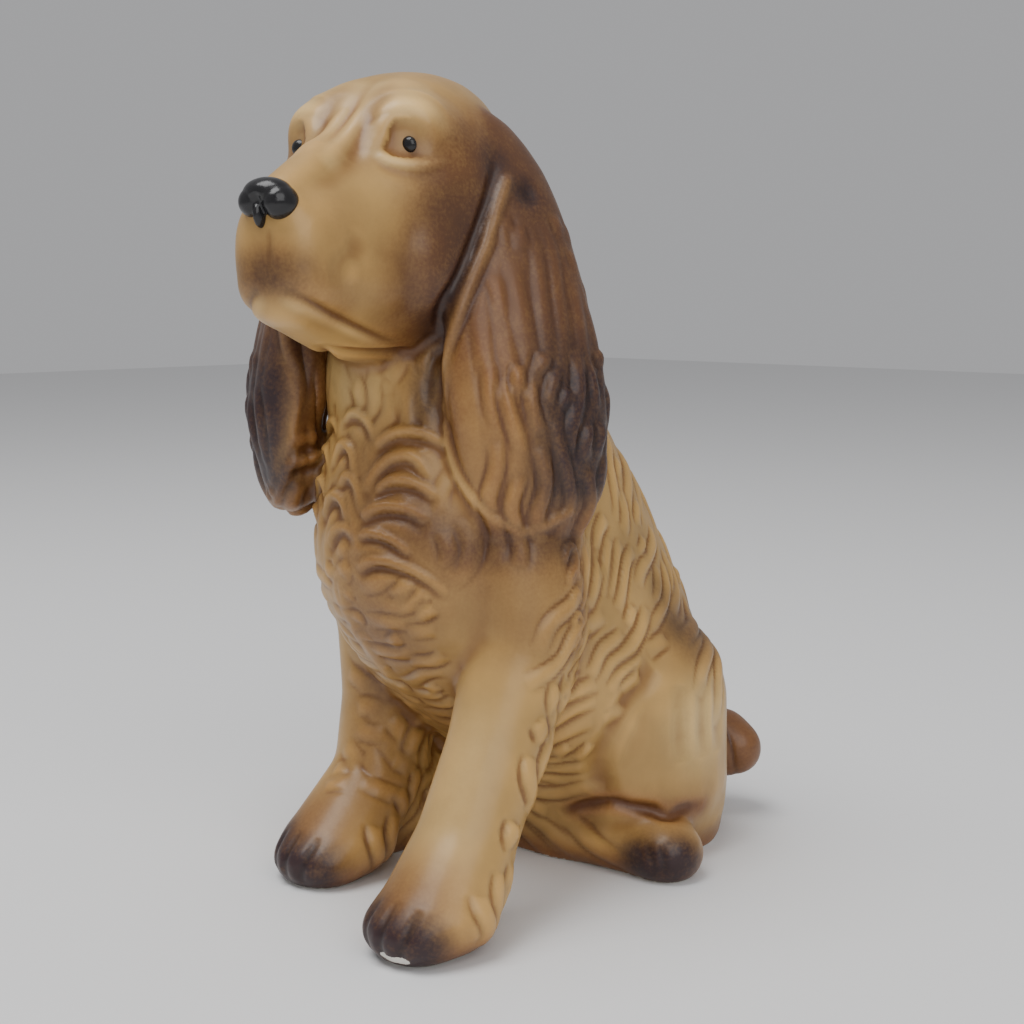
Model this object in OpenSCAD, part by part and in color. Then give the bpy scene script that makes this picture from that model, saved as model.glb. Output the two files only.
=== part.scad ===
// Sitting spaniel figurine in glazed earthenware: hollow slip castings, luted together
// with slip, and a cold-painted enamel nose and eyes. Millimetres, +Z up, the dog faces -Y.

/* [Figure] */
// Wall of the slip castings
wall = 5; // [4:0.5:7]
// Radius of the drain hole in the base
drain_r = 5; // [3.5:0.5:8]
// Radius of the air passage from the body into the head
neck_passage_r = 14; // [8:1:16]

/* [Pose] */
// How far the head turns to the dog's left
head_turn = 18; // [0:1:20]
// How far the left forepaw stands ahead of the right one
stride = 19; // [8:1:22]

/* [Head] */
// Height of the eyes above the base
eye_z = 228; // [225:1:231]
// Distance between the centres of the eyes
eye_gap = 37; // [34:1:40]
// Radius of each painted eye
eye_r = 2.6; // [2:0.1:3.2]

/* [Hidden] */

origin_shift = [4.3, 2.3, 0];     // puts the origin under the middle of the figure
head_at = [-0.5, -57.5, eye_z];   // origin of the head's own frame, between the eyes
left_heel = 16;                   // where the inner end of each hind foot starts, from the middle line
right_heel = 30;                  // inside the skirt of clay, so that nothing of it stands out beyond
head_rings = 24;
body_rings = 24;
ear_rings = 18;
sides = 28;
ball_fn = 20;
far = 300;                    // larger than the figure, for cutting blocks
shoulder_seat_z = 78;         // the forelegs are luted on at this height
eye_offset = 2;               // the eyes' middle stands a little to the dog's left of the skull's
left_ear_low = -117;          // the ears' tips, from the eyes
right_ear_low = -111;
right_ear_tuck = 6;           // the right ear's tip hangs in against the chest

// Centres down a foreleg: elbow, knee, pastern, paw. The right one is given on the left side.
left_leg = [[33, -22, 84], [36, -27 - stride / 2, 54], [39, -33 - stride, 30], [42, -48 - stride, 11]];
right_leg = [[33, -20, 84], [32, -21, 54], [31, -26, 30], [27, -48, 10]];

cream = [0.78, 0.62, 0.40];
brown = [0.42, 0.26, 0.18];
black = [0.05, 0.05, 0.06];

// ---- Lofts ------------------------------------------------------------------------------------

// A ring's row: [height, centre x, centre y, half width, half depth to -y, half depth to +y, turn, squareness]
function spline(a, b, c, d, t) =
    0.5 * (2 * b + (c - a) * t + (2 * a - 5 * b + 4 * c - d) * t * t + (3 * b - a - 3 * c + d) * t * t * t);

function sampled(rows, count) =
    let (last = len(rows) - 1)
    [for (i = [0:count])
        let (u = i / count * last, k = min(floor(u), last - 1))
        spline(rows[max(k - 1, 0)], rows[k], rows[k + 1], rows[min(k + 2, last)], u - k)];

function bulge(v, squareness) = sign(v) * pow(abs(v), 2 / squareness);

function ring_points(row, inset, z) =
    let (turn = row[6])
    [for (i = [0:sides - 1])
        let (a = 360 * i / sides,
             depth = sin(a) < 0 ? row[4] : row[5],
             u = max(row[3] - inset, 0.3) * bulge(cos(a), row[7]),
             v = max(depth - inset, 0.3) * bulge(sin(a), row[7]))
        [row[1] + u * cos(turn) - v * sin(turn), row[2] + u * sin(turn) + v * cos(turn), z]];

// A closed skin through the rows, drawn in from the true surface by inset
module loft(rows, rings, inset = 0) {
    path = sampled(rows, rings);
    low = path[0][0];
    high = path[rings][0];
    shrink = 1 - 2 * inset / (high - low);
    heights = [for (r = path) (low + high) / 2 + (r[0] - (low + high) / 2) * shrink];
    skin = [for (i = [0:rings]) each ring_points(path[i], inset, heights[i])];
    bottom = [for (i = [0:sides - 1]) i];
    top = [for (i = [sides - 1:-1:0]) rings * sides + i];
    walls = [for (r = [0:rings - 1], i = [0:sides - 1])
        let (a = r * sides + i, b = r * sides + (i + 1) % sides)
        each [[a, a + sides, b], [b, a + sides, b + sides]]];
    polyhedron(skin, concat([bottom, top], walls), convexity = 6);
}

module ball(at, radii, inset = 0) {
    translate(at) scale([for (r = radii) max(r - inset, 0.3)]) sphere(1, $fn = ball_fn);
}

// Two balls of clay and the mass between them
module muscle(a, a_radii, b, b_radii, inset = 0) {
    hull() {
        ball(a, a_radii, inset);
        ball(b, b_radii, inset);
    }
}

module mirrored() {
    children();
    mirror([1, 0, 0]) children();
}

// Stands things given in the head's own frame (origin between the eyes, facing -Y) on the figure
module on_head() {
    translate(head_at) rotate([0, 0, head_turn]) children();
}

// ---- Forms: the outer shapes before they are parted --------------------------------------------

module trunk_form(inset = 0) {
    rows = [
        [0,   0, 50, 44, 42, 28, 0, 2.4],
        [14,  0, 47, 46, 42, 36, 0, 2.3],
        [34,  0, 40, 46, 46, 45, 0, 2.2],
        [56,  0, 24, 45, 56, 58, 0, 2.2],
        [80,  0, 4,  43, 58, 71, 0, 2.3],
        [104, -1, -8, 41, 56, 70, 0, 2.3],
        [128, -2, -12, 38, 50, 60, 0, 2.2],
        [150, -4, -14, 35, 42, 46.5, 0, 2.1],
        [172, -6, -18, 33, 34, 34, 0, 2.1],
        [192, -9, -20, 28, 28, 25, 0, 2.1],
        [208, -11, -22, 16, 18, 13, 0, 2],
    ];
    loft(rows, body_rings, inset);
}

module shoulder_form(inset = 0) {
    muscle([24, -20, 104], [17, 24, 24], [29, -18, 84], [15, 20, 22], inset);
}

module haunch_form(inset = 0) {
    muscle([31, 40, 48], [21, 30, 34], [31, 40, 26], [21, 31, 26], inset);
    muscle([28, 45, 24], [21, 30, 24], [27, 47, 12], [21, 27, 12], inset);
}

// The skirt of clay that joins the right foreleg to the belly down to the base
module web_form(inset = 0) {
    muscle([-31, -24, 18], [11, 16, 20], [-28, 20, 18], [16, 22, 20], inset);
    muscle([-32, -18, 60], [11, 16, 16], [-28, 20, 50], [16, 24, 30], inset);
}

module body_form(inset = 0) {
    trunk_form(inset);
    mirrored() {
        shoulder_form(inset);
        haunch_form(inset);
    }
    web_form(inset);
}

// A foreleg from the shoulder down to the toes, through its four centres
module foreleg_form(leg, inset = 0) {
    muscle([31, -20, 104], [16, 21, 22], leg[0], [17, 19, 16], inset);
    muscle(leg[0], [16, 18, 14], leg[1], [14, 16, 12], inset);
    muscle(leg[1], [14, 16, 12], leg[2], [14.5, 15, 10], inset);
    muscle(leg[2], [14.5, 15, 10], leg[3], [17.5, 17, 12], inset);
    muscle(leg[3], [18, 18, 11.5], leg[3] + [-1, -8, -3], [16, 14, 9], inset);
}

module left_foreleg_form(inset = 0) {
    foreleg_form(left_leg, inset);
}

module right_foreleg_form(inset = 0) {
    mirror([1, 0, 0]) foreleg_form(right_leg, inset);
}

// A hind foot: heel is how far from the middle line its inner end is drawn
module hind_foot_form(heel) {
    muscle([heel, 17 + (heel - left_heel) * 9 / 26, 8], [9, 10, 9], [42, 26, 9], [15, 14, 12]);
    muscle([42, 26, 9], [15, 14, 12], [51, 24, 8], [12, 12, 10]);
}

// The tail lies curled round to the dog's left
module tail_form() {
    muscle([8, 74, 26], [14, 12, 14], [22, 90, 25], [11, 11, 12]);
    muscle([22, 90, 25], [11, 11, 12], [29, 91, 24], [8, 8, 9]);
}

// Rows run from the nape to the lips: [distance ahead of the eyes, x, centre z, ...]
module skull_form(inset = 0) {
    rows = [
        [-54, 0, -10, 12, 12, 14, 0, 2],
        [-47, 0, -11, 25, 25, 32, 0, 2.1],
        [-34, 0, -15, 32, 36, 39, 0, 2.1],
        [-20, 0, -17, 33.5, 43, 40, 0, 2.1],
        [-6,  0, -19, 30, 43, 38, 0, 2.2],
        [6,   0, -23, 24, 38, 31, 0, 2.2],
        [16,  0, -27, 19, 32, 24, 0, 2.2],
        [28,  0, -29.5, 16, 25, 19, 0, 2.3],
        [38,  0, -31, 14.5, 20, 17.5, 0, 2.4],
        [44,  0, -31, 11.5, 17, 14.5, 0, 2.4],
        [47,  0, -31, 6,  11, 8,  0, 2.2],
    ];
    rotate([90, 0, 0]) loft(rows, head_rings, inset);
}

module face_form() {
    // brows over the eyes, and the bridge of the muzzle
    mirrored() muscle([12, -5, 6], [7, 5, 6], [20, 1, 6], [6, 6, 6]);
    muscle([0, -3, 1], [8, 8, 8], [0, -40, -17], [7, 6, 6]);
    // cheeks, flews and chin
    mirrored() {
        muscle([20, 6, -32], [10, 16, 18], [23, 22, -28], [10, 16, 20]);
        muscle([9, -34, -34], [6, 10, 10], [13, -8, -38], [8, 14, 12]);
    }
    muscle([0, -34, -42], [9, 8, 7], [0, -8, -48], [14, 14, 11]);
}

module head_form() {
    on_head() {
        skull_form();
        face_form();
    }
}

module nose_ball(grow = 0) {
    on_head() muscle([-3.4, -44, -18], [4.6 + grow, 4.4 + grow, 5.6 + grow],
                     [3.4, -44, -18], [4.6 + grow, 4.4 + grow, 5.6 + grow]);
}

// The left ear, down to a height given from the eyes: [height, across, back, ...]
// tuck is how far its tip hangs in towards the neck
module ear_form(low, tuck) {
    rows = [
        [low,      45 - tuck, 21, 5, 3, 3, 55, 2],
        [low + 4,  46 - tuck, 21, 15, 7, 7, 55, 2.2],
        [low + 16, 46 - tuck * 0.8, 22, 22, 10, 10, 55, 2.3],
        [-80, 45 - tuck * 0.4, 22, 25, 11, 11, 55, 2.3],
        [-62, 42 - tuck * 0.1, 23, 25, 11, 11, 55, 2.3],
        [-42, 38, 25, 23, 10, 10, 55, 2.2],
        [-24, 34, 28, 20, 9, 9, 57, 2.2],
        [-6,  29, 30, 16, 8, 8, 60, 2.1],
        [8,   23, 30, 10, 6, 6, 64, 2],
        [13,  20, 29, 3, 3, 3, 64, 2],
    ];
    loft(rows, ear_rings);
}

// ---- Blocks that part the forms ---------------------------------------------------------------

module above(z) {
    translate([-far, -far, z]) cube([2 * far, 2 * far, far]);
}

module below(z) {
    translate([-far, -far, z - far]) cube([2 * far, 2 * far, far]);
}

module neck_passage() {
    translate([-5, -20, 150]) cylinder(r = neck_passage_r, h = 50, $fn = 32);
}

// ---- Castings ---------------------------------------------------------------------------------

module body() {
    color(cream) translate(origin_shift) difference() {
        union() {
            body_form();
            intersection() {
                union() {
                    left_foreleg_form();
                    right_foreleg_form();
                }
                above(shoulder_seat_z);
            }
        }
        head_form();
        intersection() {
            union() {
                body_form(wall);
                intersection() {
                    union() {
                        left_foreleg_form(wall);
                        right_foreleg_form(wall);
                    }
                    above(shoulder_seat_z - 1);
                }
            }
            above(wall);
        }
        neck_passage();
        below(0);
        translate([0, 52, -1]) cylinder(r = drain_r, h = wall + 2, $fn = 32);
    }
}

module head() {
    color(cream) translate(origin_shift) difference() {
        head_form();
        on_head() skull_form(wall);
        neck_passage();
    }
}

// What a hollow foreleg casting keeps of its form
module foreleg_casting() {
    translate(origin_shift) difference() {
        children(0);
        children(1);
        body_form();
        above(shoulder_seat_z);
        below(0);
    }
}

module left_foreleg() {
    color(cream) foreleg_casting() {
        left_foreleg_form();
        left_foreleg_form(wall);
    }
}

module right_foreleg() {
    color(cream) foreleg_casting() {
        right_foreleg_form();
        right_foreleg_form(wall);
    }
}

module left_ear() {
    color(brown) translate(origin_shift) difference() {
        on_head() ear_form(left_ear_low, 0);
        head_form();
        body_form();
    }
}

module right_ear() {
    color(brown) translate(origin_shift) difference() {
        on_head() mirror([1, 0, 0]) ear_form(right_ear_low, right_ear_tuck);
        head_form();
        body_form();
    }
}

module left_hind_foot() {
    color(cream) translate(origin_shift) difference() {
        hind_foot_form(left_heel);
        body_form();
        below(0);
    }
}

module right_hind_foot() {
    color(cream) translate(origin_shift) difference() {
        mirror([1, 0, 0]) hind_foot_form(right_heel);
        body_form();
        below(0);
    }
}

module tail() {
    color(brown) translate(origin_shift) difference() {
        tail_form();
        body_form();
        below(0);
    }
}

module nose_enamel() {
    color(black) translate(origin_shift) difference() {
        nose_ball(0.8);
        head_form();
    }
}

module eye_enamel(side) {
    color(black) translate(origin_shift) difference() {
        on_head() ball([eye_offset + side * eye_gap / 2, -5.5, 0], [eye_r, 3, eye_r]);
        head_form();
    }
}

module left_eye_enamel() { eye_enamel(1); }

module right_eye_enamel() { eye_enamel(-1); }

body();
head();
left_ear();
right_ear();
left_foreleg();
right_foreleg();
left_hind_foot();
right_hind_foot();
tail();
nose_enamel();
left_eye_enamel();
right_eye_enamel();
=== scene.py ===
# %% [markdown]
# # A sitting spaniel in glazed earthenware
# The real figure is cast in liquid clay, luted together, airbrushed with colour and dipped in a
# clear glaze. The CAD castings already have the right sizes and places, but only plain muscle
# shapes. So this lesson works as a modeller does: it gathers the castings into one lump of clay,
# smooths it, models the face and the hair on it, and parts it into castings again.

# %% Load the frame
import math
import bmesh
import bpy
import numpy as np
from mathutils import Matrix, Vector, noise
from mathutils.bvhtree import BVHTree


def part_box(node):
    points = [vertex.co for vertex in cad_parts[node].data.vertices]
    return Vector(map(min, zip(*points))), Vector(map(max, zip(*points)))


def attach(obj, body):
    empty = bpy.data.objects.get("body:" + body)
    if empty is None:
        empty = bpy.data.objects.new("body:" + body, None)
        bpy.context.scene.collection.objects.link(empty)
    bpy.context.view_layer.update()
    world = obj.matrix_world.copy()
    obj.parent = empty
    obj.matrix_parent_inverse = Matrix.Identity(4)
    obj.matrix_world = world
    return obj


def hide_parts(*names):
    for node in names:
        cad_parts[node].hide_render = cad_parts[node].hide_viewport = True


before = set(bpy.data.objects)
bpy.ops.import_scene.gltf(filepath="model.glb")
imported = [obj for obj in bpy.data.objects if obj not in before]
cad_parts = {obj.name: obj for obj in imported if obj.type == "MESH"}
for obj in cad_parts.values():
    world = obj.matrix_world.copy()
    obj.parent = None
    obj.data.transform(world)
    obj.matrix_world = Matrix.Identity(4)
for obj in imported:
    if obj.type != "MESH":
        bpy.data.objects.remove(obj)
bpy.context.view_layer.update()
MM = 0.001
BODY_X = 4.3       # the body's middle line, in millimetres
CASTINGS = ["body", "head", "left_ear", "right_ear", "left_foreleg", "right_foreleg",
            "left_hind_foot", "right_hind_foot", "tail"]
bpy.ops.object.select_all(action="DESELECT")

# %% [markdown]
# The face is modelled in the head's own directions, because the head is turned. The two eyes give
# the face's middle, and the head's turn gives the directions to its left and its back.

# %% Find the head's own directions
def middle(node):
    low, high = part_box(node)
    return (low + high) / 2 / MM


left_eye, right_eye = middle("left_eye_enamel"), middle("right_eye_enamel")
HEAD_TURN = math.radians(18)
EYE_DEPTH = 6.0    # how far the eyes stand ahead of the head's origin
EYE_SHIFT = 2.0    # how far the face's middle lies to the dog's left of the skull's
across = Vector((math.cos(HEAD_TURN), math.sin(HEAD_TURN), 0))
back = Vector((-across.y, across.x, 0))
head_at = (left_eye + right_eye) / 2 + back * EYE_DEPTH


def on_head(x, y, z):
    """A point given to the dog's left, backwards and up from between the eyes, in millimetres."""
    return head_at + across * x + back * y + Vector((0, 0, z))


def on_skull(x, y, z):
    """The same, but square to the middle of the skull, as the ears are."""
    return on_head(x - EYE_SHIFT, y, z)


print("The head's own directions start at", [round(c, 1) for c in head_at], "mm")

# %% [markdown]
# Small helpers save typing later. Operators act on what is selected, so `pick` selects one object
# alone, and `finish_modifier` adds a modifier and applies it at once.

# %% Helpers for objects
def pick(thing):
    bpy.ops.object.select_all(action="DESELECT")
    thing.select_set(True)
    bpy.context.view_layer.objects.active = thing
    return thing


def finish_modifier(thing, kind, **settings):
    pick(thing)
    modifier = thing.modifiers.new(kind.lower(), kind)
    for name, value in settings.items():
        setattr(modifier, name, value)
    bpy.ops.object.modifier_apply(modifier=modifier.name)
    return thing


def edit(thing, *steps):
    """Runs edit-mode operators, each a function, on the whole mesh."""
    pick(thing)
    bpy.ops.object.mode_set(mode="EDIT")
    bpy.ops.mesh.select_all(action="SELECT")
    for step in steps:
        step()
    bpy.ops.object.mode_set(mode="OBJECT")
    return thing


def clay_copy(node):
    """A free copy of a CAD casting, with its doubled points merged and its skin swollen a little."""
    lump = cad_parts[node].copy()
    lump.data = lump.data.copy()
    lump.parent = None
    for key in list(lump.keys()):
        del lump[key]
    bpy.context.collection.objects.link(lump)
    return edit(lump, lambda: bpy.ops.mesh.remove_doubles(threshold=1e-6),
                lambda: bpy.ops.transform.shrink_fatten(value=SWELL * MM))


# %% [markdown]
# ## One lump of clay
# Voxel Remesh turns any pile of closed, overlapping shells into one even skin, as if the clay
# had been pressed together. The drain hole is plugged first, so that the hollow inside becomes a
# separate shell, which is thrown away. The copies are swollen a little, so that they overlap at
# the seams and keep their size when they are smoothed.

# %% Gather the castings into one lump
SWELL = 0.7
COARSE = 1.5
DRAIN_AT = (BODY_X, 54.3)
DRAIN_R = 5.0
DRAIN_DEEP = 9.0

lumps = [clay_copy(node) for node in CASTINGS]
bpy.ops.object.select_all(action="DESELECT")
bpy.ops.mesh.primitive_cylinder_add(radius=(DRAIN_R + 2) * MM, depth=8 * MM,
                                    location=(DRAIN_AT[0] * MM, DRAIN_AT[1] * MM, 3 * MM))
lumps.append(bpy.context.object)
for lump in lumps:
    lump.select_set(True)
bpy.context.view_layer.objects.active = lumps[0]
bpy.ops.object.join()
clay = bpy.context.object
clay.name = "clay"
finish_modifier(clay, "REMESH", mode="VOXEL", voxel_size=COARSE * MM)
edit(clay, lambda: bpy.ops.mesh.separate(type="LOOSE"))
shells = sorted(bpy.context.selected_objects, key=lambda o: len(o.data.vertices))
clay = shells.pop()
for shell in shells:
    bpy.data.objects.remove(shell)
print("One skin of", len(clay.data.vertices), "points")

# %% [markdown]
# Liquid clay leaves no sharp edges. Smooth rounds off the facets, a second Voxel Remesh lays an
# even skin of small squares over the form, and a few more rounds of Smooth take its steps away.
# The squares have to be finer than the thinnest lock of hair, but not so fine that the body
# passes the limit on triangles.

# %% Smooth the lump and give it an even, finer skin
FINE = 0.95
finish_modifier(clay, "SMOOTH", factor=0.5, iterations=14)
finish_modifier(clay, "REMESH", mode="VOXEL", voxel_size=FINE * MM)
finish_modifier(clay, "SMOOTH", factor=0.5, iterations=3)
print("The finer skin has", len(clay.data.vertices), "points and", len(clay.data.polygons), "faces")

# %% [markdown]
# ## Modelling tools
# A sculptor works with few tools: a thumb that pushes or builds up a soft area, and a loop or a
# coil of clay that leaves a groove or a ridge along a line. Here both only add to a height for each
# point of the skin. All the heights go on along the normals at the end, so that the order of the
# strokes doesn't matter, and a ridge that crosses another stays as crisp as modelled hair.

# %% Read the skin and start a height map on it
def read_skin(thing):
    """The points and the normals of a mesh, in millimetres."""
    count = len(thing.data.vertices)
    points, normals = np.empty(count * 3), np.empty(count * 3)
    thing.data.vertices.foreach_get("co", points)
    thing.data.vertices.foreach_get("normal", normals)
    return points.reshape(-1, 3) / MM, normals.reshape(-1, 3)


def start_relief():
    """Reads the clay again, with empty maps for what is built up and what is cut away."""
    global skin, outward, built, cut, tree
    skin, outward = read_skin(clay)
    built, cut = np.zeros(len(skin)), np.zeros(len(skin))
    tree = BVHTree.FromPolygons([v.co / MM for v in clay.data.vertices],
                                [p.vertices[:] for p in clay.data.polygons])


def finish_relief(rounds):
    """Puts the heights on the clay along its normals, and softens them by rounds of Smooth."""
    moved = skin + outward * (built + cut)[:, None]
    clay.data.vertices.foreach_set("co", (moved * MM).ravel())
    clay.data.update()
    finish_modifier(clay, "SMOOTH", factor=0.5, iterations=rounds)


def touch(point, limit=9.0):
    """The nearest place on the skin, or nothing where the skin is far away."""
    return tree.find_nearest(Vector(point), limit)[0]


# %% [markdown]
# The lump has lost its parts, but the ears need other hair than the body. Each point of the skin
# therefore remembers the nearest CAD casting. Modelling moves points but never adds any, so the
# same list still holds when the lump is parted at the end.

# %% Remember which casting each point of the skin belongs to
def nearest_casting():
    corners, faces, owners = [], [], []
    for index, node in enumerate(CASTINGS):
        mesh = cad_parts[node].data
        first = len(corners)
        corners += [v.co / MM for v in mesh.vertices]
        faces += [[first + i for i in p.vertices] for p in mesh.polygons]
        owners += [index] * len(mesh.polygons)
    castings = BVHTree.FromPolygons(corners, faces)
    return np.array([owners[castings.find_nearest(Vector(p))[2]] for p in skin])


start_relief()
casting_of = nearest_casting()
QUADS = np.array([p.vertices[:] for p in clay.data.polygons])


def is_part(*nodes):
    """True for the skin's points that belong to these castings."""
    return np.isin(casting_of, [CASTINGS.index(node) for node in nodes])


def neighbours_mean(values, times):
    """Spreads values over the skin by averaging each point with the corners of its faces."""
    count = np.bincount(QUADS.ravel(), minlength=len(values))
    for _ in range(times):
        face = np.repeat(values[QUADS].mean(1), 4)
        values = np.bincount(QUADS.ravel(), face, minlength=len(values)) / count
    return values


print({node: int(is_part(node).sum()) for node in CASTINGS})

# %% [markdown]
# Every stroke follows a line of places. The tool finds the points of the skin near the line, and
# shapes them by how far away they are: most at the middle, nothing at the edge. The thumb is the
# same stroke at a single place, and the sponge averages neighbours instead of building up.

# %% The thumb and the loop tool
def near_line(line, reach):
    """Points of the skin near a line of places: which, how far, and how far along from 0 to 1."""
    line = np.array([list(p) for p in line], float)
    low, high = line.min(0) - reach, line.max(0) + reach
    which = np.flatnonzero(((skin > low) & (skin < high)).all(1))
    best = np.full(len(which), 1e9)
    along = np.zeros(len(which))
    steps = len(line) - 1
    for k in range(steps):
        a, ab = line[k], line[k + 1] - line[k]
        t = np.clip((skin[which] - a) @ ab / max(ab @ ab, 1e-9), 0, 1)
        far = np.linalg.norm(skin[which] - a - t[:, None] * ab, axis=1)
        closer = far < best
        best[closer] = far[closer]
        along[closer] = (k + t[closer]) / steps
    inside = best < reach
    return which[inside], best[inside], along[inside]


def bell(far, reach):
    """1 at the middle of a stroke, falling softly to 0 at its edge."""
    return (1 - (far / reach) ** 2) ** 2


def fade(along, start=0.25, end=0.35):
    """Lets a stroke rise from nothing at its start and die away at its end."""
    return np.clip(along / start, 0, 1) ** 0.6 * np.clip((1 - along) / end, 0, 1) ** 0.6


def thumb(at, reach, height):
    """Builds up a soft mound, or presses a hollow where the height is negative."""
    which, far, _ = near_line([at, at], reach)
    built[which] += height * bell(far, reach)


def soften(line, reach, times):
    """Rubs an area smooth, as with a wet sponge."""
    global skin
    which, far, _ = near_line(line, reach)
    rubbed = np.stack([neighbours_mean(axis, times) for axis in skin.T], 1)
    skin[which] += (rubbed - skin)[which] * bell(far, reach)[:, None] ** 0.5


def ridge(line, width, height, tapered=True):
    which, far, along = near_line(line, width)
    shape = bell(far, width) * height * (fade(along) if tapered else 1)
    built[which] = np.maximum(built[which], shape)


def groove(line, width, depth, tapered=True):
    which, far, along = near_line(line, width)
    shape = -bell(far, width) * depth * (fade(along) if tapered else 1)
    cut[which] = np.minimum(cut[which], shape)


def smooth_line(places, count=24):
    """A smooth curve through a few places, by the Catmull-Rom rule."""
    p = [Vector(q) for q in places]
    p = [p[0] * 2 - p[1]] + p + [p[-1] * 2 - p[-2]]
    spans = len(p) - 3
    curve = []
    for i in range(count + 1):
        u = min(i / count * spans, spans - 1e-6)
        k, t = int(u), u - int(u)
        a, b, c, d = p[k:k + 4]
        curve.append(0.5 * (2 * b + (c - a) * t + (2 * a - 5 * b + 4 * c - d) * t ** 2
                            + (3 * b - a - 3 * c + d) * t ** 3))
    return curve


def on_skin(places, count=24):
    """A smooth curve laid on the skin."""
    laid = [touch(q, 12) for q in smooth_line(places, count)]
    return [q for q in laid if q is not None]


# %% [markdown]
# ## The comb
# Modelled hair is many locks that lie side by side, sway together and never cross. The comb starts
# a lock at a random place, walks over the skin the way the hair lies, and stops where it would
# come too near to another. That leaves even, tapering locks, as a modeller's wire tool does.

# %% A comb that lays locks side by side
STEP = 1.3
chance = np.random.default_rng(7)


def vary(value, by=0.25):
    return value * (1 + by * (2 * chance.random() - 1))


def sway(place, pitch):
    """The same wave for neighbours, drifting slowly over the skin."""
    return math.sin(2 * math.pi * (place.x * 0.3 + place.y * 0.35 + place.z) / pitch
                    + 5 * noise.noise(place / 34))


def lock(line, width, height, blunt=0.3, tip=0.5):
    """One lock of hair along a line, round on top, with a groove on each side."""
    which, far, along = near_line(line, width * 1.35)
    x = far / width
    taper = fade(along, blunt, tip)
    built[which] = np.maximum(built[which], np.clip(1 - x ** 2, 0, 1) ** 1.4 * height * taper)
    cut[which] = np.minimum(cut[which], -np.exp(-((x - 1.0) / 0.26) ** 2) * height * 0.5 * taper)


def comb(where, way, gap, length, height, wave=0.5, pitch=26, tries=2500):
    """Lays locks over the chosen skin, a gap apart, heading the way that the function gives."""
    taken = {}

    def cell(place):
        return tuple(int(c // gap) for c in place)

    def crowded(place, room):
        i, j, k = cell(place)
        return any((place - other).length < room
                   for a in (i - 1, i, i + 1) for b in (j - 1, j, j + 1) for c in (k - 1, k, k + 1)
                   for other in taken.get((a, b, c), ()))

    laid = 0
    places = np.flatnonzero(where)
    for start in skin[chance.permutation(places)[:tries]]:
        place = Vector(start)
        if crowded(place, gap):
            continue
        line = [place]
        wanted = vary(length, 0.35) / STEP
        while len(line) < wanted:
            _, normal, _, _ = tree.find_nearest(place)
            course = Vector(way(place))
            course = (course - normal * course.dot(normal)).normalized()
            course = (course + normal.cross(course) * wave * sway(place, pitch)).normalized()
            place = touch(place + course * STEP, 4)
            if place is None or crowded(place, gap * 0.7):
                break
            line.append(place)
        if len(line) < 6:
            continue
        for place in line:
            taken.setdefault(cell(place), []).append(place)
        lock(line, gap * vary(0.62, 0.12), vary(height))
        laid += 1
    return laid


# %% [markdown]
# ## The face
# Everything is given in the head's own directions: to the dog's left, backwards, up. The two
# sides mirror each other about the eyes' middle, so each feature is written once.

# %% Model the eye sockets, the lids and the brows
start_relief()
SIDES = (1, -1)


def face_line(places, side, count=24):
    return on_skin([on_head(side * x, y, z) for x, y, z in places], count)


INNER_BROW = [(3, 3, 18), (3, -6, 11), (4, -15, 1), (5, -25, -6)]
BROW_HOLLOW = [(7.5, -1, 15), (8, -8, 8), (8, -15, 1), (8, -20, -4)]
SOCKET_RIM = [(9.5, -14, -1), (10, -11, 5), (13, -8, 10), (18, -4, 12), (23, 1, 9), (26, 6, 4)]
LOWER_LID = [(12, -12, -3.5), (15, -11, -5), (18.5, -8, -6), (22, -4, -6), (26, 2, -4.5)]
for side in SIDES:
    soften([on_head(side * 6, -6, 10), on_head(side * 24, 2, 10)], 20, 90)
    thumb(on_head(side * 12, 0, 15), 16, 2.6)
    thumb(on_head(side * 22, 6, 9), 12, 1.6)
    thumb(on_head(side * 18, -8, 2), 11, -2.6)
    thumb(on_head(side * 18.5, -8, -0.5), 5, 0.6)
    ridge(face_line(SOCKET_RIM, side), 4.4, 0.9)
    groove(face_line(BROW_HOLLOW, side), 4.6, 0.9)
    ridge(face_line(INNER_BROW, side), 4.0, 0.7)
    ridge(face_line(LOWER_LID, side), 2.2, 0.8)
    groove(face_line([(x, y, z - 3.4) for x, y, z in LOWER_LID], side), 3.2, 0.35)
groove(face_line([(0, 6, 19), (0, -6, 11), (0, -16, 1), (0, -26, -7)], 1), 3.2, 0.5)
print("Built up to", round(float(built.max()), 1), "mm and cut to", round(-float(cut.min()), 1), "mm")

# %% [markdown]
# A spaniel's upper lips hang over the lower ones, so the mouth is a deep line with a soft roll of
# clay above it and a thin lip below. One long groove then sets the jaw off from the neck.

# %% Model the lips, the muzzle's folds and the jaw
MOUTH = [(4, -47.5, -41), (8.5, -42, -44), (9.8, -30, -48.5), (11, -16, -53), (13, -4, -57)]
for side in SIDES:
    thumb(on_head(side * 4.4, -47, -18), 8, 1.2)
    ridge(face_line([(x, y, z + 4.4) for x, y, z in MOUTH], side), 5.5, 0.5)
    groove(face_line(MOUTH, side, 32), 2.0, 1.0)
    ridge(face_line([(x, y, z - 2.6) for x, y, z in MOUTH], side), 2.8, 0.4)
    groove(face_line([(12, -26, -26), (12, -30, -33), (9, -38, -36)], side), 6, 0.7)
    thumb(on_head(side * 13, -30, -36), 5, 0.8)
    groove(face_line([(0, -24, -56), (6, -12, -60), (13, 1, -61), (20, 5, -55)], side), 3.4, 1.6)
groove(face_line([(0, -51, -24), (0, -50, -30), (0, -49.5, -36)], 1), 1.8, 0.4)
finish_relief(rounds=1)
print("The face is modelled")

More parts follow.
